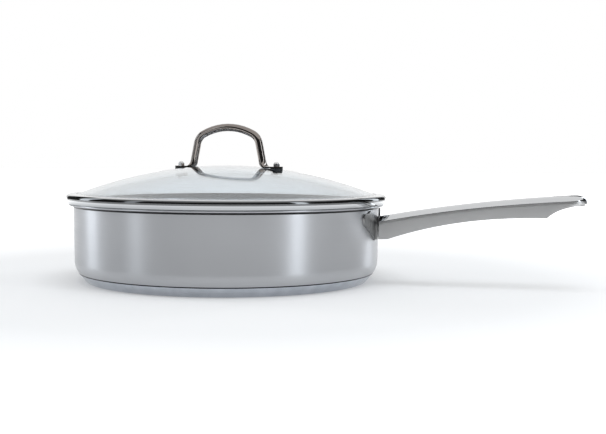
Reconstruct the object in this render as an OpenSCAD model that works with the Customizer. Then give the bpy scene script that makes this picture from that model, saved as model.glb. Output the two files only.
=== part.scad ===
/* [Pan] */
// Inside diameter of the pan at its mouth
pan_inner_d = 280; // [230:1:340]
// Height from the table to the top of the pouring rim
pan_h = 71.5; // [59:0.5:110]
// Thickness of the drawn sheet
sheet_t = 0.8; // [0.6:0.1:1.2]
// Angle by which the wall opens towards the rim
wall_draft = 1; // [0:0.25:3]
// Width of the curve between wall and floor
corner_w = 11; // [9:0.5:14]
// Height of the curve between wall and floor
corner_h = 15; // [12:0.5:18]

/* [Pouring rim] */
// How far the rim stands out from the wall
rim_out = 4.2; // [3.6:0.1:7]
// Thickness of the hemmed edge
rim_t = 1.8; // [1.6:0.1:2.4]
// Radius of the bend under the rim
rim_bend_r = 2; // [1:0.1:2.2]

/* [Sandwich base] */
// Thickness of the heat-spreading disc
core_t = 4.4; // [3:0.2:7]
// Thickness of the capsule that closes the disc in
cap_t = 0.6; // [0.4:0.1:1]
// Height above the table of the seam where the capsule ends on the wall
seam_h = 8.2; // [7.4:0.1:10]
// How far the edge of the capsule stands out from the wall
seam_step = 0.35; // [0.2:0.05:0.6]
// Angle of the capsule's side above the table
cap_angle = 50; // [40:1:65]
// Radius of the bend between the capsule's side and the table
cap_bend_r = 3; // [1.5:0.5:5]

/* [Handle bracket] */
// Thickness of the winged plate on the wall
bracket_t = 1.5; // [1:0.1:2.5]
// Width of the plate over both wings
bracket_w = 82; // [68:1:100]
// Distance of the widest point of the wings below the top of the rim
wing_drop = 10.5; // [10:0.5:16]
// Radius of the wing tips
wing_r = 8; // [4:0.5:9]
// Distance of the bottom edge of the plate below the top of the rim
bracket_drop = 31; // [26:0.5:38]
// Gap between the horns of the plate and the bend under the rim
horn_gap = 0.2; // [0.1:0.1:1]
// Width over both horns
horn_span = 61; // [52:1:70]
// Width of a horn at its top
horn_w = 7.2; // [5:0.1:10]
// Radius of the scoop beside the handle
scoop_r = 5.8; // [3:0.2:7]
// Distance of the valley between the horns below the crown of the handle
valley_drop = 1.5; // [0.5:0.5:4]

/* [Long handle] */
// Length of the handle from root to nose
handle_len = 179.6; // [150:1:230]
// Distance from the outside of the wall to the root of the handle
handle_root_out = 3.6; // [3:0.1:6]
// Thickness of the pressed sheet
handle_t = 1.8; // [1.2:0.1:2.5]
// Width at the root
root_w = 24.8; // [20:0.2:32]
// Width at the waist
waist_w = 21; // [16:0.5:28]
// Width of the grip before the nose
grip_w = 24; // [18:0.5:30]
// Distance of the crown of the handle below the top of the rim at the root
root_drop = 9.6; // [7.5:0.1:16]
// Rise of the top edge from root to nose
handle_rise = 21.7; // [10:0.1:40]
// How far the top edge bows above a straight line
handle_bow = 3.1; // [0:0.1:8]
// Depth of the side at the root
root_depth = 20.4; // [16:0.2:26]
// Depth of the side at the heel, where the cut-out for the nose starts
heel_depth = 18.4; // [14:0.2:24]
// Distance from root to heel
heel_len = 145.6; // [120:0.5:190]
// Fall of the lower edge from heel to root
heel_fall = 24.1; // [15:0.1:35]
// Depth of the nose
nose_depth = 8; // [6:0.5:12]
// Length over which the cut-out eases into the nose
nose_ease = 11.5; // [6:0.5:16]
// Length of the rounded nose in plan
nose_len = 14; // [8:0.5:20]
// How far the lower edge of the nose is rolled in
nose_roll = 3; // [0:0.2:4]
// Depth of the rounding along the top edges
top_round = 7.5; // [4:0.5:10]
// Length of the hanging slot
slot_len = 21; // [12:0.5:34]
// Width of the hanging slot
slot_w = 8; // [5:0.5:12]
// Distance from the nose to the end of the hanging slot
slot_end = 9; // [8:0.5:16]
// Thickness of the collar between plate and handle
collar_out = 2.4; // [1.8:0.1:3.4]
// Length of the tongue inside the handle
tongue_len = 30; // [15:1:45]
// Depth of the tongue
tongue_depth = 13; // [11:0.5:16]
// Clearance between the tongue and the inside of the handle
tongue_gap = 0.4; // [0.2:0.1:0.8]

/* [Glass lid] */
// How far the steel band stands out beyond the pouring rim
band_out = 2.3; // [1.6:0.1:4]
// Gap between the band and the pouring rim
lid_gap = 0.3; // [0.2:0.1:1]
// Height of the band
band_h = 8.2; // [7.6:0.2:12]
// Thickness of the band's strip
band_t = 0.6; // [0.4:0.1:1]
// Width of the band's lip on top of the glass
band_lip = 5.8; // [4:0.2:8]
// Radius of the roll at the top of the band
band_roll_r = 3; // [2:0.2:4]
// How far the lower edge of the band curls in
band_curl = 1.1; // [0:0.1:2]
// Clearance between the skirt of the band and the inside of the pan
skirt_gap = 1.2; // [0.8:0.1:2]
// How far the skirt drops into the pan
skirt_drop = 5.5; // [3:0.5:12]
// Thickness of the glass
glass_t = 4; // [3:0.2:5]
// Radius of the dome
dome_r = 372; // [330:1:520]
// Distance of the edge of the glass from the start of the band's roll
glass_gap = 0.3; // [0.1:0.1:1]

/* [Lid handle] */
// Direction of the lid handle against the long handle
lid_turn = -11; // [-180:1:180]
// Diameter of the polished tube
tube_d = 7; // [5:0.2:10]
// Height of the arch above the feet
arch_h = 40.9; // [30:0.1:60]
// Radius of the top of the arch
arch_r = 57; // [40:1:90]
// Radius of the shoulders
shoulder_r = 12.5; // [8:0.5:20]
// Angle that the top of the arch covers on each side
arch_angle = 26.7; // [15:0.1:35]
// Lean of the legs from upright
leg_lean = 12; // [0:1:20]
// Radius of the bend between leg and foot
foot_bend_r = 5.5; // [4:0.5:9]
// Thickness of the flattened foot
foot_t = 1.6; // [1.2:0.1:2.4]
// Width of the flattened foot
foot_w = 12; // [9:0.5:16]
// Distance between the two screws
screw_spacing = 100; // [90:1:120]

/* [Lid fastenings] */
// Diameter of the screw
screw_d = 3; // [2.5:0.5:4]
// Clearance around the screw in the pieces it passes through
screw_gap = 0.2; // [0.1:0.05:0.4]
// Diameter of the screw head
screw_head_d = 6.6; // [5:0.2:9]
// Height of the screw head
screw_head_h = 2.2; // [1.6:0.1:3]
// Width of the cap nut across its flats
nut_af = 5.6; // [5:0.1:8]
// Height of the hexagon of the cap nut
nut_hex_h = 2.2; // [1.6:0.1:4]
// Height of the dome of the cap nut
nut_dome_h = 2.1; // [1.6:0.1:3]
// Diameter of the gaskets
gasket_d = 11.6; // [9:0.2:15]
// Thickness of the outer gasket over the middle of the hole
outer_gasket_t = 1.2; // [1:0.1:4]
// Thickness of the inner gasket under the middle of the hole
inner_gasket_t = 2; // [1.6:0.1:4]
// Diameter of the hole in the glass
glass_hole_d = 6; // [5:0.2:8]
// Clearance between the gasket's neck and the hole in the glass
neck_gap = 0.15; // [0.1:0.05:0.3]
// Diameter of the steel washer
washer_d = 9; // [7:0.5:12]
// Thickness of the steel washer
washer_t = 0.8; // [0.5:0.1:1.2]

/* [Hidden] */
SIDES = [["left", -1], ["right", 1]];
PAIRS = ["outer_gasket", "inner_gasket", "washer", "screw", "cap_nut"];

$fn = 96;
// Overrun of a cutting shape past the faces it cuts
past = 1;
// Exponent of the rounded-square sections of both handles
section_n = 2.6;
foot_n = 6;
// Exponent of the curve of the long handle's lower edge
heel_n = 2.23;

// Levels and radii of the pan
floor_z = cap_t + core_t;
corner_z = floor_z + corner_h;
bend_z = pan_h - rim_t - rim_bend_r;
function wall_r(z) = pan_inner_d / 2 + sheet_t - (pan_h - z) * tan(wall_draft);
corner_c = [wall_r(corner_z) - corner_w, corner_z];
bend_c = [wall_r(bend_z) + rim_bend_r, bend_z];
rim_r = pan_inner_d / 2 + sheet_t + rim_out;
// Outside of the curved corner at a height z between floor and wall
function corner_r(z) = corner_c.x + corner_w * sqrt(1 - pow((corner_z - z) / corner_h, 2));

// The capsule: a cone from the seam down to a bend at the table
seam_r = corner_r(seam_h) + seam_step;
cap_foot_r = seam_r - seam_h / tan(cap_angle);
cap_bend_c = [cap_foot_r - cap_bend_r * tan(cap_angle / 2), cap_bend_r];

// Levels of the bracket
root_top_z = pan_h - root_drop;
bracket_wide_z = pan_h - wing_drop;
bracket_low_z = pan_h - bracket_drop;

// Long handle along +X
handle_x = wall_r(root_top_z) + handle_root_out;
heel_x = handle_x + heel_len;
nose_x = handle_x + handle_len;
nose_c = nose_x - nose_len;
waist_x = handle_x + heel_len / 2;
heel_z = top_z(heel_x) - heel_depth;

// Levels and radii of the lid
band_r = rim_r + band_out;
band_z = pan_h + lid_gap;
glass_top_z = band_z + band_h - band_t;
glass_edge_r = band_r - band_roll_r - glass_gap;
// Inner edge of the band's lip, where the dome of the glass starts
dome_edge_r = glass_edge_r - band_lip;
dome_c = [0, 0, glass_top_z - sqrt(pow(dome_r, 2) - pow(dome_edge_r, 2))];
skirt_r = pan_inner_d / 2 - skirt_gap;
screw_x = screw_spacing / 2;
function dome_z(r, x) = dome_c.z + sqrt(r * r - x * x);
foot_z = dome_z(dome_r, screw_x) + outer_gasket_t;
inner_z = dome_z(dome_r - glass_t, screw_x) - inner_gasket_t;
arch_z = foot_z + arch_h - tube_d / 2;

// Points of an elliptical arc about c from angle a0 to a1
function arc(c, rx, ry, a0, a1, n) =
    [for (i = [0:n]) let (a = a0 + (a1 - a0) * i / n) [c.x + rx * cos(a), c.y + ry * sin(a)]];
// Signed power that turns a circle into a rounded square
function bulge(v, n) = sign(v) * pow(abs(v), 2 / n);
// Two triangles of a four-sided facet, leaving out those with no area
function facet(a, b, c, d) =
    [for (t = [[a, b, c], [a, c, d]]) if (t[0] != t[1] && t[1] != t[2] && t[2] != t[0]) t];

// Outside of the pan up to the bend under the rim
function pan_outline() = concat(
    [[0, floor_z]],
    arc(corner_c, corner_w, corner_h, -90, 0, 14),
    arc(bend_c, rim_bend_r, rim_bend_r, 180, 90, 6));

// Drawn shell with its floor, curved corner, wall and hemmed pouring rim
module pan_body() {
    color("lightsteelblue")
    rotate_extrude($fn = 180)
    polygon(concat(
        pan_outline(),
        arc([rim_r - rim_t / 2, pan_h - rim_t / 2], rim_t / 2, rim_t / 2, -90, 90, 8),
        arc(bend_c, rim_bend_r + sheet_t, rim_bend_r + rim_t, 90, 180, 8),
        arc(corner_c, corner_w - sheet_t, corner_h - sheet_t, 0, -90, 14),
        [[0, floor_z + sheet_t]]));
}

// Half section of the capsule, drawn inwards by a thickness t
module capsule_section(t) {
    polygon(concat(
        [[0, t]],
        arc(cap_bend_c, cap_bend_r - t, cap_bend_r - t, -90, cap_angle - 90, 6),
        [[seam_r - t / sin(cap_angle), seam_h], [0, seam_h]]));
}

// Half section of everything inside the outer skin of the pan
module pan_section() {
    polygon(concat(pan_outline(), [[0, pan_h]]));
}

// Heat-spreading disc between the floor and the capsule
module base_core() {
    color("gainsboro")
    rotate_extrude($fn = 180)
    difference() {
        capsule_section(cap_t);
        pan_section();
    }
}

// Pressed capsule whose edge ends in the seam on the wall
module base_cap() {
    color("silver")
    rotate_extrude($fn = 180)
    difference() {
        capsule_section(0);
        capsule_section(cap_t);
        pan_section();
    }
}

// Front view of the winged plate: Y across, Z up
module bracket_outline() {
    horn_z = bend_z - horn_gap;
    neck = root_w / 2;
    tip = [bracket_w / 2 - wing_r, bracket_wide_z];
    foot = [neck, bracket_low_z];
    reach = norm(tip - foot);
    // Angle at which the straight lower edge meets the round wing tip
    edge_a = atan2(tip.y - foot.y, tip.x - foot.x) - asin(wing_r / reach) - 90;
    horn_x = horn_span / 2;
    horn_r = horn_w / 2.2;
    scoop_x = horn_x - horn_w - scoop_r;
    valley_z = root_top_z - valley_drop;
    right = concat(
        [foot],
        arc(tip, wing_r, wing_r, edge_a, 30, 10),
        arc([horn_x - horn_r, horn_z - horn_r], horn_r, horn_r, 30, 120, 6));
    difference() {
        polygon(concat(right, [for (i = [len(right) - 1:-1:0]) [-right[i].x, right[i].y]]));
        translate([-scoop_x, valley_z])
        square([2 * scoop_x, horn_z]);
        for (side = [-1, 1])
        translate([side * scoop_x, valley_z + scoop_r])
        circle(r = scoop_r);
    }
}

// Winged plate that hugs the wall
module handle_bracket() {
    color("darkgray")
    intersection() {
        rotate_extrude($fn = 180)
        polygon([
            [wall_r(bracket_low_z - past), bracket_low_z - past],
            [wall_r(bracket_low_z - past) + bracket_t, bracket_low_z - past],
            [wall_r(pan_h) + bracket_t, pan_h],
            [wall_r(pan_h), pan_h]]);
        translate([pan_inner_d / 3, 0, 0])
        rotate([90, 0, 90])
        linear_extrude(pan_inner_d / 3)
        bracket_outline();
    }
}

// Height of the crown of the long handle at x
function top_z(x) =
    let (t = (x - handle_x) / handle_len)
    root_top_z + handle_rise * t + 4 * handle_bow * t * (1 - t);
// Depth of the side of the long handle at x
function side_depth(x) =
    x > heel_x
    ? nose_depth + (heel_depth - nose_depth) * exp((heel_x - x) / nose_ease)
    : min(top_z(x) - root_top_z + root_depth,
          top_z(x) - heel_z + heel_fall * pow((heel_x - x) / heel_len, heel_n));
// Half the width of the long handle at x
function half_w(x) =
    x < waist_x
    ? waist_w / 2 + (root_w - waist_w) / 2 * pow((waist_x - x) / (waist_x - handle_x), 2)
    : waist_w / 2 + (grip_w - waist_w) / 4 * (1 - cos(180 * (x - waist_x) / (nose_c - waist_x)));

// Stations along one side of the long handle: X on the spine and angle round the nose
STATIONS = concat(
    [for (i = [0:18]) [handle_x + heel_len * i / 18, 0]],
    [for (i = [1:7]) [heel_x + (nose_c - heel_x) * i / 7, 0]],
    [for (i = [1:9]) [nose_c, 10 * i]]);
LAST = len(STATIONS) - 1;
NOSE = LAST - 9;
// Steps across the rounded top and down the side
CROWN = 7;
SIDE = 4;
ACROSS = CROWN + SIDE;

// Point of the long handle's skin, t inside the outer face, at station m and step j across
function skin(m, j, t) =
    let (s = STATIONS[m],
         k = abs(j) < CROWN ? bulge(sin(90 * abs(j) / CROWN), section_n) : 1,
         down = max(0, abs(j) - CROWN) / SIDE,
         in = k * (1 - nose_roll / nose_len * sin(s[1]) * down * down),
         x = s[0] + in * (nose_len - t) * sin(s[1]),
         y = sign(j) * in * (half_w(s[0]) - t) * cos(s[1]),
         shoulder = top_round * (1 - bulge(cos(90 * min(1, abs(j) / CROWN)), section_n)),
         edge = side_depth(s[0] + (nose_len - t) * sin(s[1])))
    [x, y, top_z(x) - (1 - down) * (t + shoulder) - down * edge];
// Place of that point in the list, with the points shared on the spine and at the nose
function at(m, j, inner) =
    let (row = (j == 0 && m > NOSE) ? NOSE : m,
         col = (m == LAST) ? abs(j) : j)
    ((inner ? LAST + 1 : 0) + row) * (2 * ACROSS + 1) + col + ACROSS;

// Pressed channel with a rounded top, a heel, a hanging slot and a rolled nose
module long_handle() {
    points = [for (t = [0, handle_t], m = [0:LAST], j = [-ACROSS:ACROSS]) skin(m, j, t)];
    faces = concat(
        [for (m = [0:LAST - 1], j = [-ACROSS:ACROSS - 1])
            each facet(at(m, j, false), at(m, j + 1, false), at(m + 1, j + 1, false), at(m + 1, j, false))],
        [for (m = [0:LAST - 1], j = [-ACROSS:ACROSS - 1])
            each facet(at(m, j, true), at(m + 1, j, true), at(m + 1, j + 1, true), at(m, j + 1, true))],
        [for (m = [0:LAST - 1])
            each facet(at(m + 1, ACROSS, false), at(m, ACROSS, false), at(m, ACROSS, true),
                       at(m + 1, ACROSS, true))],
        [for (m = [0:LAST - 1])
            each facet(at(m, -ACROSS, false), at(m + 1, -ACROSS, false), at(m + 1, -ACROSS, true),
                       at(m, -ACROSS, true))],
        [for (j = [-ACROSS:ACROSS - 1])
            each facet(at(0, j + 1, false), at(0, j, false), at(0, j, true), at(0, j + 1, true))]);
    color("silver")
    difference() {
        polyhedron(points, faces);
        for (x = [nose_x - slot_end - slot_w / 2, nose_x - slot_end - slot_len + slot_w / 2])
        translate([x, 0, root_top_z])
        cylinder(d = slot_w, h = 2 * handle_rise, $fn = 48);
        translate([nose_x - slot_end - slot_len + slot_w / 2, -slot_w / 2, root_top_z])
        cube([slot_len - slot_w, slot_w, 2 * handle_rise]);
    }
}

// Cross-section of the long handle, in from its outer face by t and cut off at a depth
module channel_section(w, t, depth) {
    half = w / 2 - t;
    top = [for (i = [-10:10]) let (a = 9 * abs(i))
        [sign(i) * half * bulge(sin(a), section_n), -t - top_round * (1 - bulge(cos(a), section_n))]];
    polygon(concat([[-half, -depth]], top, [[half, -depth]]));
}

// Collar welded to the plate, with the tongue that the handle slides over
module handle_tongue() {
    in = handle_t + tongue_gap;
    climb = atan((top_z(handle_x + tongue_len) - root_top_z) / tongue_len);
    // Narrowest width of the handle over the length of the tongue
    w = 2 * half_w(handle_x + tongue_len);
    color("dimgray")
    difference() {
        union() {
            translate([wall_r(root_top_z) - collar_out, 0, root_top_z])
            rotate([90, 0, 90])
            linear_extrude(2 * collar_out)
            channel_section(root_w, 0, root_depth);
            translate([handle_x, 0, root_top_z])
            rotate([0, -climb, 0])
            translate([-handle_root_out, 0, 0])
            rotate([90, 0, 90])
            linear_extrude(handle_root_out + tongue_len)
            difference() {
                channel_section(w, in, tongue_depth);
                channel_section(w, in + handle_t, tongue_depth + past);
            }
        }
        rotate_extrude($fn = 180)
        polygon([
            [0, 0],
            [wall_r(0) + bracket_t, 0],
            [wall_r(pan_h) + bracket_t, pan_h],
            [0, pan_h]]);
    }
}

// Domed glass with a flat rim and two screw holes
module lid_glass() {
    color("lightblue", 0.4)
    difference() {
        union() {
            intersection() {
                translate(dome_c)
                sphere(dome_r, $fn = 180);
                translate([0, 0, glass_top_z - glass_t / 2])
                cylinder(r = glass_edge_r, h = dome_r);
            }
            translate([0, 0, glass_top_z - glass_t])
            cylinder(r = glass_edge_r, h = glass_t, $fn = 180);
        }
        translate(dome_c)
        sphere(dome_r - glass_t, $fn = 180);
        at_screws()
        translate([0, 0, glass_top_z])
        cylinder(d = glass_hole_d, h = 2 * arch_h);
    }
}

// Steel strip rolled round the rim of the glass, with a seat and a skirt below it
module lid_band() {
    r = band_r;
    top = band_z + band_h;
    curl_c = [r - band_roll_r, top - band_roll_r];
    color("silver")
    rotate_extrude($fn = 180)
    polygon(concat(
        [[dome_edge_r, top - band_t], [dome_edge_r, top]],
        arc(curl_c, band_roll_r, band_roll_r, 90, 0, 8),
        arc([r - band_curl, curl_c.y], band_curl, curl_c.y - band_z, 0, -90, 6),
        [[skirt_r, band_z],
         [skirt_r, band_z - skirt_drop],
         [skirt_r - band_t, band_z - skirt_drop],
         [skirt_r - band_t, band_z + band_t]],
        arc([r - band_curl - band_t, curl_c.y], band_curl, curl_c.y - band_z - band_t, -90, 0, 6),
        arc(curl_c, band_roll_r - band_t, band_roll_r - band_t, 0, 90, 8)));
}

// Silicone ring that beds the glass in the band
module rim_seal() {
    color("dimgray")
    translate([0, 0, band_z + band_t])
    difference() {
        cylinder(r = band_r - band_curl - band_t - glass_gap, h = band_h - 2 * band_t - glass_t,
                 $fn = 180);
        translate([0, 0, -past])
        cylinder(r = skirt_r - band_t, h = band_h, $fn = 180);
    }
}

// Places its children at both screws of the lid handle
module at_screws() {
    rotate(lid_turn)
    for (side = SIDES)
    translate([side[1] * screw_x, 0, 0])
    children();
}

// Places its children at one screw: side is -1 or 1
module at_screw(side) {
    rotate(lid_turn)
    translate([side * screw_x, 0, 0])
    children();
}

// Shoulder and leg of the arch: centre of the shoulder, top of the leg and centre of the foot bend
shoulder_c = [(arch_r - shoulder_r) * sin(arch_angle),
              arch_z - arch_r + (arch_r - shoulder_r) * cos(arch_angle)];
leg_top = shoulder_c + shoulder_r * [cos(leg_lean), sin(leg_lean)];
bend_y = foot_z + foot_t / 2 + foot_bend_r;
leg_end = [leg_top.x + (leg_top.y - bend_y + foot_bend_r * sin(leg_lean)) * tan(leg_lean),
           bend_y - foot_bend_r * sin(leg_lean)];
bend_x = leg_end.x + foot_bend_r * cos(leg_lean);

// Stations of the tube from the middle of the arch to one end:
// place, direction of the upper side, how far flattened, share of the width
function along(p, a, flat, share) = [p, [cos(a), sin(a)], flat, share];
HALF = concat(
    [for (i = [0:5]) let (a = 90 - arch_angle * i / 5)
        along([0, arch_z - arch_r] + arch_r * [cos(a), sin(a)], a, 0, 1)],
    [for (i = [1:7]) let (a = 90 - arch_angle - (90 - arch_angle - leg_lean) * i / 7)
        along(shoulder_c + shoulder_r * [cos(a), sin(a)], a, 0, 1)],
    [for (i = [1:2]) along(leg_top + (leg_end - leg_top) * i / 2.5, leg_lean, 0, 1)],
    [for (i = [0:7]) let (a = leg_lean + (90 - leg_lean) * i / 7)
        along([bend_x, bend_y] - foot_bend_r * [cos(a), sin(a)], a, (1 - cos(180 * (i + 1) / 8)) / 2, 1)],
    [for (i = [0:7]) let (a = 12 * i)
        along([screw_x + foot_w / 2 * sin(a), foot_z + foot_t / 2], 90, 1, cos(a))]);
TUBE = concat(
    [for (i = [len(HALF) - 1:-1:1]) let (s = HALF[i])
        [[-s[0].x, s[0].y], [-s[1].x, s[1].y], s[2], s[3]]],
    HALF);

// Arched tube, flattened and drilled at both feet
module lid_handle() {
    around = 20;
    count = len(TUBE);
    points = [for (s = TUBE, i = [0:around - 1])
        let (a = 360 * i / around,
             n = 2 + (foot_n - 2) * s[2],
             thick = (tube_d + (foot_t - tube_d) * s[2]) / 2,
             wide = (tube_d + (foot_w - tube_d) * s[2]) / 2 * s[3],
             p = s[0] + thick * bulge(sin(a), n) * s[1])
        [p.x, wide * bulge(cos(a), n), p.y]];
    faces = concat(
        [[for (i = [0:around - 1]) i]],
        [for (r = [0:count - 2], i = [0:around - 1])
            let (k = (i + 1) % around)
            each facet(r * around + i, (r + 1) * around + i, (r + 1) * around + k, r * around + k)],
        [[for (i = [around - 1:-1:0]) (count - 1) * around + i]]);
    color("rosybrown")
    difference() {
        rotate(lid_turn)
        polyhedron(points, faces);
        at_screws()
        translate([0, 0, foot_z - past])
        cylinder(d = screw_d + 2 * screw_gap, h = foot_t + 2 * past, $fn = 32);
    }
}

// Everything below a dome of radius r over the ring on which the gaskets bed
module below_dome(r) {
    rotate_extrude($fn = 360)
    polygon(concat(
        arc([0, dome_c.z], r, r, acos((screw_x + gasket_d) / r), acos((screw_x - gasket_d) / r), 16),
        [[screw_x - gasket_d, 0], [screw_x + gasket_d, 0]]));
}

// Washer between foot and glass, with a neck that lines the hole
module outer_gasket(side) {
    color("black")
    at_screw(side)
    difference() {
        union() {
            difference() {
                translate([0, 0, foot_z - outer_gasket_t - past])
                cylinder(d = gasket_d, h = outer_gasket_t + past);
                translate([-side * screw_x, 0, 0])
                below_dome(dome_r);
            }
            translate([0, 0, foot_z - outer_gasket_t - glass_t / 2])
            cylinder(d = glass_hole_d - 2 * neck_gap, h = outer_gasket_t / 2 + glass_t / 2);
        }
        translate([0, 0, inner_z])
        cylinder(d = screw_d + 2 * screw_gap, h = arch_h);
    }
}

// Washer that beds on the inside of the dome
module inner_gasket(side) {
    color("black")
    at_screw(side)
    difference() {
        intersection() {
            translate([0, 0, inner_z])
            cylinder(d = gasket_d, h = inner_gasket_t + past);
            translate([-side * screw_x, 0, 0])
            below_dome(dome_r - glass_t);
        }
        translate([0, 0, inner_z - past])
        cylinder(d = screw_d + 2 * screw_gap, h = arch_h);
    }
}

// Flat steel washer under the inner gasket
module washer(side) {
    color("silver")
    at_screw(side)
    translate([0, 0, inner_z - washer_t])
    difference() {
        cylinder(d = washer_d, h = washer_t);
        translate([0, 0, -past])
        cylinder(d = screw_d + 2 * screw_gap, h = washer_t + 2 * past);
    }
}

// Screw with a domed head, driven from inside the lid
module screw(side) {
    head_z = inner_z - washer_t;
    slot = screw_head_h / 3;
    color("silver")
    at_screw(side)
    difference() {
        union() {
            translate([0, 0, head_z])
            cylinder(d = screw_d, h = foot_z + foot_t + nut_hex_h - head_z);
            translate([0, 0, head_z])
            rotate_extrude()
            polygon(concat([[0, 0]], arc([0, 0], screw_head_d / 2, screw_head_h, 0, -90, 8)));
        }
        translate([-screw_head_d, -slot / 2, head_z - screw_head_h - past])
        cube([2 * screw_head_d, slot, past + slot]);
    }
}

// Domed hexagon nut on top of the foot
module cap_nut(side) {
    across = nut_af / cos(30);
    color("silver")
    at_screw(side)
    translate([0, 0, foot_z + foot_t])
    difference() {
        union() {
            cylinder(d = across, h = nut_hex_h, $fn = 6);
            translate([0, 0, nut_hex_h])
            rotate_extrude()
            polygon(concat([[0, 0]], arc([0, 0], nut_af / 2 - screw_gap, nut_dome_h, 0, 90, 8)));
        }
        translate([0, 0, -past])
        cylinder(d = screw_d + screw_gap / 2, h = past + nut_hex_h + screw_gap);
    }
}

pan_body();
base_core();
base_cap();
handle_bracket();
handle_tongue();
long_handle();
lid_glass();
lid_band();
rim_seal();
lid_handle();
for (side = SIDES) {
    outer_gasket(side[1]);
    inner_gasket(side[1]);
    washer(side[1]);
    screw(side[1]);
    cap_nut(side[1]);
}
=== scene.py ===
import math

import bmesh
import bpy
from mathutils import Matrix, Vector


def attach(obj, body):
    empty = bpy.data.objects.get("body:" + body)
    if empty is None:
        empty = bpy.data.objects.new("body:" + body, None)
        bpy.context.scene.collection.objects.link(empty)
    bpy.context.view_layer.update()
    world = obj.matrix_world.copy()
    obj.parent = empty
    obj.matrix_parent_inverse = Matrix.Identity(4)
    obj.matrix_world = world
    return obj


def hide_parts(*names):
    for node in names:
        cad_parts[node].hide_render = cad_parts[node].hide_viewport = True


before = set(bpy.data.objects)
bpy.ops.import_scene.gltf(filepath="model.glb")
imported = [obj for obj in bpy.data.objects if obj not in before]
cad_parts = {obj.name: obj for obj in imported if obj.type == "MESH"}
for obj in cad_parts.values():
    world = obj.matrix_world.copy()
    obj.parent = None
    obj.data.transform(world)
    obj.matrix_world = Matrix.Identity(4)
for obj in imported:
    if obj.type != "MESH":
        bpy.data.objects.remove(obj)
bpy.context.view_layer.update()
MM = 0.001

# Most of a noise lies between these two values
NOISE_LOW, NOISE_HIGH = 0.3, 0.7
GRAIN_BUMP = 0.25
QUARTER_TURN = 0.25
# Places of the colour sockets on Blender's Mix node
MIX_A, MIX_B, MIX_RESULT = 6, 7, 2

# Heights in millimetres between which a steel's colour is darkened: painted shade in the seam over
# the base, in the corner under the pouring rim and at the feet of the lid's handle, and a painted
# dark reflection on the side of the lid's band
SEAM_SHADE, RIM_SHADE = (8.1, 9.2), (67.9, 69.8)
BAND_DARK_REFLECTION, FEET_SHADE = (75.2, 79.1), (103.6, 105.2)


def place(name, data):
    """Makes an object of some data and puts it in the scene."""
    obj = bpy.data.objects.new(name, data)
    bpy.context.scene.collection.objects.link(obj)
    return obj


def combine(tree, operation, *values):
    """Adds a Math node over sockets or numbers, and gives its result."""
    node = tree.nodes.new("ShaderNodeMath")
    node.operation = operation
    for socket, value in zip(node.inputs, values):
        if isinstance(value, (int, float)):
            socket.default_value = value
        else:
            tree.links.new(value, socket)
    return node.outputs[0]


class Nodes:
    """Short names for building one material's node tree."""

    def __init__(self, name):
        self.material = bpy.data.materials.new(name)
        self.material.use_nodes = True
        self.tree = self.material.node_tree
        self.shader = self.tree.nodes["Principled BSDF"]

    def add(self, kind, **values):
        """Adds a node and sets its properties or inputs by name."""
        node = self.tree.nodes.new(kind)
        for key, value in values.items():
            if hasattr(node, key):
                setattr(node, key, value)
            else:
                node.inputs[key.replace("_", " ")].default_value = value
        return node

    def link(self, a, out, b, into):
        self.tree.links.new(a.outputs[out], b.inputs[into])

    def noise(self, scale, detail=3.0):
        """Noise over object space, stretched by a different scale on each axis."""
        where = self.add("ShaderNodeTexCoord")
        stretch = self.add("ShaderNodeMapping", Scale=scale)
        noise = self.add("ShaderNodeTexNoise", Scale=1.0, Detail=detail)
        self.link(where, "Object", stretch, "Vector")
        self.link(stretch, "Vector", noise, "Vector")
        return noise

    def spread(self, noise, low, high, into):
        """Maps the middle of a noise to a range of values on a shader input."""
        ramp = self.add(
            "ShaderNodeMapRange", From_Min=NOISE_LOW, From_Max=NOISE_HIGH, To_Min=low, To_Max=high)
        self.link(noise, "Fac", ramp, "Value")
        self.link(ramp, "Result", self.shader, into)

    def tint(self, noise, dark, light):
        """Runs the base colour between two colours with a noise."""
        ramp = self.add("ShaderNodeValToRGB")
        stops = zip(ramp.color_ramp.elements, (NOISE_LOW, NOISE_HIGH), (dark, light))
        for stop, position, colour in stops:
            stop.position = position
            stop.color = (*colour, 1)
        self.link(noise, "Fac", ramp, "Fac")
        self.link(ramp, "Color", self.shader, "Base Color")

    def painted_shade_and_reflection(self, bands, shade):
        """Paints shade and dark reflections into the base colour between pairs of heights in
        millimetres.
        """
        where = self.add("ShaderNodeTexCoord")
        split = self.add("ShaderNodeSeparateXYZ")
        self.link(where, "Object", split, "Vector")
        colour = self.shader.inputs["Base Color"].links[0].from_socket
        for low, high in bands:
            middle, half = (low + high) / 2 * MM, (high - low) / 2 * MM
            near = combine(self.tree, "COMPARE", split.outputs["Z"], middle, half)
            mix = self.add("ShaderNodeMix", data_type="RGBA", blend_type="MULTIPLY")
            mix.inputs[MIX_B].default_value = (shade, shade, shade, 1)
            self.tree.links.new(near, mix.inputs[0])
            self.tree.links.new(colour, mix.inputs[MIX_A])
            colour = mix.outputs[MIX_RESULT]
        self.tree.links.new(colour, self.shader.inputs["Base Color"])

    def brushed(self, amount):
        """Stretches highlights across grooves that run round the Z axis."""
        round_z = self.add("ShaderNodeTangent", direction_type="RADIAL", axis="Z")
        self.link(round_z, "Tangent", self.shader, "Tangent")
        self.shader.inputs["Anisotropic"].default_value = amount
        self.shader.inputs["Anisotropic Rotation"].default_value = QUARTER_TURN

    def bump(self, noise, strength, depth):
        bump = self.add("ShaderNodeBump", Strength=strength, Distance=depth)
        self.link(noise, "Fac", bump, "Height")
        self.link(bump, "Normal", self.shader, "Normal")


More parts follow.
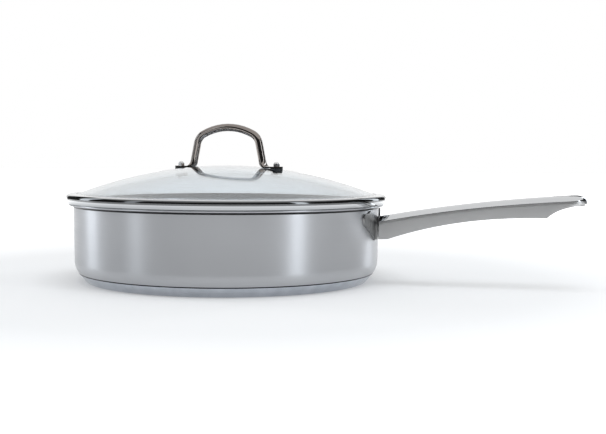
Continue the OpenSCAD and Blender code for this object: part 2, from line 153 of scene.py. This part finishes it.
def steel(name, dark, light, rough, grain, depth, cloud=(9, 9, 9), painted_shade_and_reflection=(), shade=0.06,
          brushed=0):
    """Steel whose grain runs along the axis on which the noise is stretched least."""
    m = Nodes(name)
    m.shader.inputs["Metallic"].default_value = 1
    lines = m.noise(grain)
    m.tint(m.noise(cloud, detail=2.0), dark, light)
    m.spread(lines, *rough, "Roughness")
    m.bump(lines, GRAIN_BUMP, depth)
    # Painted shade and painted dark reflections between the given heights
    if painted_shade_and_reflection:
        m.painted_shade_and_reflection(painted_shade_and_reflection, shade)
    if brushed:
        m.brushed(brushed)
    return m.material


def rubber(name):
    m = Nodes(name)
    m.shader.inputs["Specular IOR Level"].default_value = 0.4
    pores = m.noise((1800, 1800, 1800), detail=4.0)
    m.tint(m.noise((160, 160, 160)), (0.012, 0.014, 0.016), (0.03, 0.034, 0.038))
    m.spread(pores, 0.45, 0.65, "Roughness")
    m.bump(pores, strength=0.3, depth=0.00008)
    return m.material


def clear_glass(name):
    m = Nodes(name)
    m.shader.inputs["Transmission Weight"].default_value = 1
    m.shader.inputs["IOR"].default_value = 1.5
    waves = m.noise((14, 14, 14), detail=1.0)
    m.tint(waves, (0.86, 0.91, 0.945), (0.88, 0.925, 0.955))
    m.spread(m.noise((55, 55, 55)), 0.0, 0.015, "Roughness")
    m.bump(waves, strength=0.05, depth=0.0002)
    return m.material


# The wall gets painted shade in the seam over the base and under the pouring rim
WALL = steel(
    "wall_steel", (0.47, 0.478, 0.495), (0.53, 0.538, 0.555), rough=(0.32, 0.4),
    grain=(6, 6, 1900), depth=0.000008, painted_shade_and_reflection=(SEAM_SHADE, RIM_SHADE), brushed=0.8)
CAP = steel(
    "cap_steel", (0.5, 0.53, 0.58), (0.6, 0.63, 0.68), rough=(0.14, 0.24),
    grain=(120, 120, 5), depth=0.00004, cloud=(75, 75, 4))
# The band gets a painted dark reflection along its side
BAND = steel(
    "band_steel", (0.5, 0.51, 0.52), (0.58, 0.59, 0.6), rough=(0.06, 0.12),
    grain=(5, 5, 1500), depth=0.000004, painted_shade_and_reflection=(BAND_DARK_REFLECTION,), shade=0.22)
GRIP = steel(
    "grip_steel", (0.56, 0.56, 0.56), (0.63, 0.63, 0.63), rough=(0.38, 0.48),
    grain=(25, 1700, 1700), depth=0.000008)
CROWN = steel(
    "crown_steel", (0.55, 0.56, 0.57), (0.62, 0.63, 0.64), rough=(0.07, 0.13),
    grain=(25, 1700, 1700), depth=0.000003)
# The bracket's dark colour is a painted dark reflection on steel
BRACKET = steel(
    "bracket_steel", (0.26, 0.26, 0.26), (0.33, 0.33, 0.33), rough=(0.25, 0.38),
    grain=(500, 500, 40), depth=0.00003)
# The tube's dark brownish colour is a painted dark reflection on steel, with painted shade at the
# feet of the lid's handle
TUBE = steel(
    "tube_steel", (0.22, 0.195, 0.18), (0.3, 0.27, 0.25), rough=(0.04, 0.09),
    grain=(300, 300, 300), depth=0.000003, painted_shade_and_reflection=(FEET_SHADE,))
BRIGHT = steel(
    "bright_steel", (0.62, 0.62, 0.62), (0.72, 0.72, 0.72), rough=(0.1, 0.2),
    grain=(700, 700, 700), depth=0.00001)
CORE = steel(
    "core_metal", (0.6, 0.6, 0.62), (0.7, 0.7, 0.72), rough=(0.35, 0.5),
    grain=(400, 400, 400), depth=0.00003)
RUBBER = rubber("dark_silicone")
GLASS = clear_glass("lid_glass")


def finish_mesh(name, bm, material, body, nodes, sharp=32):
    """Makes an object of a bmesh, smooth except at edges sharper than an angle in degrees."""
    bmesh.ops.recalc_face_normals(bm, faces=bm.faces)
    for face in bm.faces:
        face.smooth = True
    for edge in bm.edges:
        closed = len(edge.link_faces) == 2
        edge.smooth = closed and edge.calc_face_angle(0) < math.radians(sharp)
    mesh = bpy.data.meshes.new(name)
    bm.to_mesh(mesh)
    bm.free()
    mesh.materials.append(material)
    piece = place(name, mesh)
    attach(piece, body)
    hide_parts(*nodes)
    return piece


# Flats that a turned shape has round its axis, and the radius under which a point is on it
LATHE_STEPS, ON_AXIS = 288, 1e-6


def lathe(profile):
    """Turns a closed profile of (radius, height) points in millimetres about the Z axis."""
    bm = bmesh.new()
    axis = {i: bm.verts.new((0, 0, z * MM)) for i, (r, z) in enumerate(profile) if r < ON_AXIS}
    rings = []
    for k in range(LATHE_STEPS):
        a = math.tau * k / LATHE_STEPS
        rings.append([
            axis.get(i) or bm.verts.new((r * math.cos(a) * MM, r * math.sin(a) * MM, z * MM))
            for i, (r, z) in enumerate(profile)])
    for here, there in zip(rings, rings[1:] + rings[:1]):
        for i in range(len(profile)):
            j = (i + 1) % len(profile)
            corners = []
            for v in (here[i], here[j], there[j], there[i]):
                if v not in corners:
                    corners.append(v)
            if len(corners) > 2:
                bm.faces.new(corners)
    return bm


def arc(c, rx, ry, a0, a1, n):
    """Points along an elliptic arc between two angles in degrees."""
    turns = [math.radians(a0 + (a1 - a0) * i / n) for i in range(n + 1)]
    return [(c[0] + rx * math.cos(a), c[1] + ry * math.sin(a)) for a in turns]


# Sizes of the pan, the base and the lid in millimetres, the same as in the CAD
PAN_R, PAN_H, SHEET, DRAFT = 140, 71.5, 0.8, math.tan(math.radians(1))
CORNER_W, CORNER_H, FLOOR_Z, CORNER_Z = 11, 15, 5, 20
RIM_R, RIM_T, RIM_BEND = 145, 1.8, 2
SEAM_H, CAP_T, CAP_BEND, CAP_ANGLE = 8.2, 0.6, 3, 50
BAND_R, BAND_Z, BAND_TOP, BAND_T = 147.3, 71.8, 80, 0.6
BAND_ROLL, BAND_CURL = 3, 1.1
SKIRT_R, SKIRT_Z = 138.8, 66.3
GLASS_TOP, GLASS_T, GLASS_R, DOME_EDGE, DOME_R = 79.4, 4, 144, 138.2, 372

# Small sizes of edges: how far the capsule's edge stands out over the wall, its rounding, where
# its inside starts, and the bevels of band and glass
CAP_PROUD, CAP_ROUND_W, CAP_ROUND_H, CAP_LIP_W = 0.35, 0.12, 0.14, 0.04
CAP_INSIDE_W, CAP_INSIDE_H = 1.4, 0.9
BAND_BEVEL, GLASS_BEVEL = 0.15, 0.6

# Steps along the arcs of the profiles
CORNER_STEPS, DOME_STEPS = 24, 40
LARGE_STEPS, MEDIUM_STEPS, SMALL_STEPS, LEAST_STEPS = 12, 10, 8, 6


def wall_r(z):
    """Outside radius of the wall at a height."""
    return PAN_R + SHEET - (PAN_H - z) * DRAFT


def pan_profile():
    bend_z = PAN_H - RIM_T - RIM_BEND
    corner = (wall_r(CORNER_Z) - CORNER_W, CORNER_Z)
    bend = (wall_r(bend_z) + RIM_BEND, bend_z)
    lip = (RIM_R - RIM_T / 2, PAN_H - RIM_T / 2)
    inner_w, inner_h = CORNER_W - SHEET, CORNER_H - SHEET
    return (
        [(0, FLOOR_Z)]
        + arc(corner, CORNER_W, CORNER_H, -90, 0, CORNER_STEPS)
        + arc(bend, RIM_BEND, RIM_BEND, 180, 90, SMALL_STEPS)
        + arc(lip, RIM_T / 2, RIM_T / 2, -90, 90, MEDIUM_STEPS)
        + arc(bend, RIM_BEND + SHEET, RIM_BEND + RIM_T, 90, 180, SMALL_STEPS)
        + arc(corner, inner_w, inner_h, 0, -90, CORNER_STEPS)
        + [(0, FLOOR_Z + SHEET)])


def cap_profile():
    slope = math.radians(CAP_ANGLE)
    drop = (CORNER_Z - SEAM_H) / CORNER_H
    seam_r = wall_r(CORNER_Z) - CORNER_W + CORNER_W * math.sqrt(1 - drop ** 2)
    edge_r = seam_r + CAP_PROUD
    foot_r = edge_r - SEAM_H / math.tan(slope)
    bend = (foot_r - CAP_BEND * math.tan(slope / 2), CAP_BEND)
    inner = CAP_BEND - CAP_T
    return (
        [(0, 0)]
        + arc(bend, CAP_BEND, CAP_BEND, -90, CAP_ANGLE - 90, MEDIUM_STEPS)
        + [(edge_r - CAP_ROUND_W, SEAM_H - CAP_ROUND_H), (edge_r - CAP_LIP_W, SEAM_H),
           (seam_r, SEAM_H), (edge_r - CAP_INSIDE_W, SEAM_H - CAP_INSIDE_H)]
        + arc(bend, inner, inner, CAP_ANGLE - 90, -90, LEAST_STEPS)
        + [(0, CAP_T)])


def band_profile():
    roll = (BAND_R - BAND_ROLL, BAND_TOP - BAND_ROLL)
    curl_r = BAND_R - BAND_CURL
    side = roll[1] - BAND_Z
    inner = BAND_ROLL - BAND_T
    return (
        [(DOME_EDGE, BAND_TOP - BAND_T), (DOME_EDGE, BAND_TOP - BAND_BEVEL),
         (DOME_EDGE + BAND_BEVEL, BAND_TOP)]
        + arc(roll, BAND_ROLL, BAND_ROLL, 90, 0, LARGE_STEPS)
        + arc((curl_r, roll[1]), BAND_CURL, side, 0, -90, MEDIUM_STEPS)[1:]
        + [(SKIRT_R, BAND_Z), (SKIRT_R, SKIRT_Z), (SKIRT_R - BAND_T, SKIRT_Z),
           (SKIRT_R - BAND_T, BAND_Z + BAND_T)]
        + arc((curl_r - BAND_T, roll[1]), BAND_CURL, side - BAND_T, -90, 0, SMALL_STEPS)
        + arc(roll, inner, inner, 0, 90, SMALL_STEPS)[1:])


def dome(centre, radius, edge):
    """Points of an arch from the axis out to an edge."""
    rise = math.asin(edge / radius)
    turns = [rise * i / DOME_STEPS for i in range(DOME_STEPS + 1)]
    return [(radius * math.sin(a), centre + radius * math.cos(a)) for a in turns]


def glass_profile():
    centre = GLASS_TOP - math.sqrt(DOME_R ** 2 - DOME_EDGE ** 2)
    low = GLASS_TOP - GLASS_T
    inner_r = DOME_R - GLASS_T
    inner_edge = math.sqrt(inner_r ** 2 - (low - centre) ** 2)
    return (
        dome(centre, DOME_R, DOME_EDGE)
        + [(GLASS_R - GLASS_BEVEL, GLASS_TOP), (GLASS_R, GLASS_TOP - GLASS_BEVEL),
           (GLASS_R, low + GLASS_BEVEL), (GLASS_R - GLASS_BEVEL, low)]
        + dome(centre, inner_r, inner_edge)[::-1])


finish_mesh("pan_wall", lathe(pan_profile()), WALL, "pan", ["pan_body"])
finish_mesh("base_capsule", lathe(cap_profile()), CAP, "pan", ["base_cap"])
finish_mesh("lid_rim_band", lathe(band_profile()), BAND, "lid", ["lid_band"])
# The dome is whole where the CAD glass has its two screw holes
lid_dome = finish_mesh(
    "lid_dome", lathe(glass_profile()), GLASS, "lid", ["lid_glass"])
# Clear glass lets the lamps through
lid_dome.visible_shadow = False

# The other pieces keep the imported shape, with smooth shading over their curves. A row is a
# node's material, body and slot, and the angle of its sharp edges in degrees.
COPIES = {
    "long_handle": (GRIP, "pan", "handle_steel", 28),
    "handle_bracket": (BRACKET, "pan", "bracket_steel", 30),
    "handle_tongue": (BRACKET, "pan", "bracket_steel", 30),
    "lid_handle": (TUBE, "lid", "lid_handle_steel", 50),
}
for side in ("left", "right"):
    for part in ("outer_gasket_", "inner_gasket_"):
        COPIES[part + side] = (RUBBER, "lid", "dark_silicone", 30)
    for part in ("washer_", "screw_", "cap_nut_"):
        COPIES[part + side] = (BRIGHT, "lid", "fastener_steel", 30)

# Points nearer than this are one, in metres, and a face of the long handle whose normal points
# up more than this belongs to its polished crown
WELD, CROWN_UP = 1e-6, 0.22

for node, (material, body, slot, sharp) in COPIES.items():
    bm = bmesh.new()
    bm.from_mesh(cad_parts[node].data)
    bmesh.ops.remove_doubles(bm, verts=bm.verts, dist=WELD)
    has_crown = node == "long_handle"
    if has_crown:
        for face in bm.faces:
            face.material_index = int(face.normal.z > CROWN_UP)
    piece = finish_mesh(node + "_piece", bm, material, body, [node], sharp)
    if has_crown:
        piece.data.materials.append(CROWN)

for node, material in (("base_core", CORE), ("rim_seal", RUBBER)):
    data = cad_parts[node].data
    data.materials.clear()
    data.materials.append(material)


def background_rays(tree):
    """Gives 1 for camera, glossy and transmission rays, and 0 for all others."""
    path = tree.nodes.new("ShaderNodeLightPath")
    seen = path.outputs["Is Camera Ray"]
    for other in ("Is Glossy Ray", "Is Transmission Ray"):
        seen = combine(tree, "MAXIMUM", seen, path.outputs[other])
    return seen


# Half the floor's width, and the distances between which its glow grows from low to full
FLOOR_HALF, GLOW_NEAR, GLOW_FAR, GLOW_LOW = 6, 0.3, 1.0, 0.2

floor_mesh = bpy.data.meshes.new("floor")
square = ((-1, -1), (1, -1), (1, 1), (-1, 1))
floor_corners = [(x * FLOOR_HALF, y * FLOOR_HALF, 0) for x, y in square]
floor_mesh.from_pydata(floor_corners, [], [(0, 1, 2, 3)])
floor = place("floor", floor_mesh)
floor_look = Nodes("floor_paper")
floor_look.shader.inputs["Roughness"].default_value = 0.9
floor_look.tint(floor_look.noise((3, 3, 3)), (0.79, 0.795, 0.8), (0.81, 0.81, 0.81))
floor_look.shader.inputs["Emission Color"].default_value = (1, 1, 1, 1)
where = floor_look.add("ShaderNodeTexCoord")
away = floor_look.add("ShaderNodeVectorMath", operation="LENGTH")
floor_look.link(where, "Object", away, 0)
fade = floor_look.add(
    "ShaderNodeMapRange", From_Min=GLOW_NEAR, From_Max=GLOW_FAR, To_Min=GLOW_LOW, To_Max=1.0)
floor_look.link(away, "Value", fade, "Value")
glow = combine(
    floor_look.tree, "MULTIPLY", background_rays(floor_look.tree), fade.outputs["Result"])
floor_look.tree.links.new(glow, floor_look.shader.inputs["Emission Strength"])
floor_mesh.materials.append(floor_look.material)

# The world lights the object at one level, and the background rays see it at full white
WORLD_LIGHT = 0.5
world = bpy.data.worlds.new("studio")
bpy.context.scene.world = world
world.use_nodes = True
sky = world.node_tree.nodes["Background"]
sky.inputs["Color"].default_value = (1, 1, 1, 1)
extra = combine(world.node_tree, "MULTIPLY", background_rays(world.node_tree), 1 - WORLD_LIGHT)
total = combine(world.node_tree, "ADD", extra, WORLD_LIGHT)
world.node_tree.links.new(total, sky.inputs["Strength"])

# Turn of the camera's own frame about the pan's axis, in degrees
TURN_DEG = 17
TURN = math.radians(TURN_DEG)

# A dark card bent round the camera's side, which only reflections show: its radius and its
# heights in metres, half the angle that it covers in degrees, and half its flats
CARD_R, CARD_LOW, CARD_HIGH, CARD_HALF, CARD_STEPS = 1.4, 0.0, 1.0, 150, 12
bm = bmesh.new()
edges = []
for step in range(-CARD_STEPS, CARD_STEPS + 1):
    a = math.radians(TURN_DEG - 90 + CARD_HALF * step / CARD_STEPS)
    x, y = CARD_R * math.cos(a), CARD_R * math.sin(a)
    edges.append([bm.verts.new((x, y, z)) for z in (CARD_LOW, CARD_HIGH)])
for (a, b), (c, d) in zip(edges, edges[1:]):
    bm.faces.new((a, c, d, b))
card_mesh = bpy.data.meshes.new("dark_card")
bm.to_mesh(card_mesh)
bm.free()
card_look = Nodes("card_cloth")
card_look.shader.inputs["Roughness"].default_value = 1
card_look.tint(card_look.noise((3, 3, 3)), (0.03, 0.03, 0.03), (0.05, 0.05, 0.05))
card_mesh.materials.append(card_look.material)
card = place("dark_card", card_mesh)
card.visible_camera = False
card.visible_diffuse = False
card.visible_transmission = False
card.visible_shadow = False

LAMP_COLOUR, LAMP_AIM = (0.9, 0.95, 1.0), Vector((0, 0, 0.05))
# Name, azimuth in degrees to the right of the camera, distance from the pan's axis, height,
# width and length in metres, and radiance
LAMPS = (
    ("top_box", 10, 0.4, 1.6, 1.1, 1.1, 2.6),
    ("right_strip", 49, 1.25, 0.4, 0.2, 0.8, 4.6),
    ("left_strip", -66, 1.25, 0.4, 0.22, 0.8, 1.8),
    ("left_back_strip", -112, 1.25, 0.4, 0.3, 0.8, 3.6),
    ("right_back_strip", 125, 1.25, 0.4, 0.25, 0.8, 3.5),
)
for name, azimuth, distance, height, width, length, radiance in LAMPS:
    a = TURN + math.radians(azimuth)
    spot = Vector((distance * math.sin(a), -distance * math.cos(a), height))
    light = bpy.data.lights.new(name, "AREA")
    light.shape = "RECTANGLE"
    light.color = LAMP_COLOUR
    light.size = width
    light.size_y = length
    light.energy = radiance * math.pi * width * length
    lamp = place(name, light)
    lamp.location = spot
    lamp.rotation_euler = (LAMP_AIM - spot).to_track_quat("-Z", "Y").to_euler()
    # Polished surfaces show the plain white above them and not the overhead box
    lamp.visible_glossy = name != "top_box"

# Distance and height in metres, focal length in pixels of a picture 606 wide, angles in radians
DISTANCE, HEIGHT, FOCAL_PX, WIDTH_PX = 0.952, 0.116, 1017.8, 606
YAW, PITCH, ROLL = 0.0739, 0.0607, 0.0067
ahead = Vector((
    math.sin(YAW) * math.cos(PITCH), math.cos(YAW) * math.cos(PITCH), -math.sin(PITCH)))
right = Vector((math.cos(YAW), -math.sin(YAW), 0))
up = right.cross(ahead)
across = math.cos(ROLL) * right + math.sin(ROLL) * up
upright = -math.sin(ROLL) * right + math.cos(ROLL) * up
axes = Matrix((across, upright, -ahead)).transposed().to_4x4()
data = bpy.data.cameras.new("camera")
data.sensor_fit = "HORIZONTAL"
data.sensor_width = 36
data.lens = FOCAL_PX * data.sensor_width / WIDTH_PX
camera = place("camera", data)
camera.matrix_world = (
    Matrix.Rotation(TURN, 4, "Z") @ Matrix.Translation((0, -DISTANCE, HEIGHT)) @ axes)
bpy.context.scene.camera = camera
bpy.context.scene.view_settings.view_transform = "Standard"
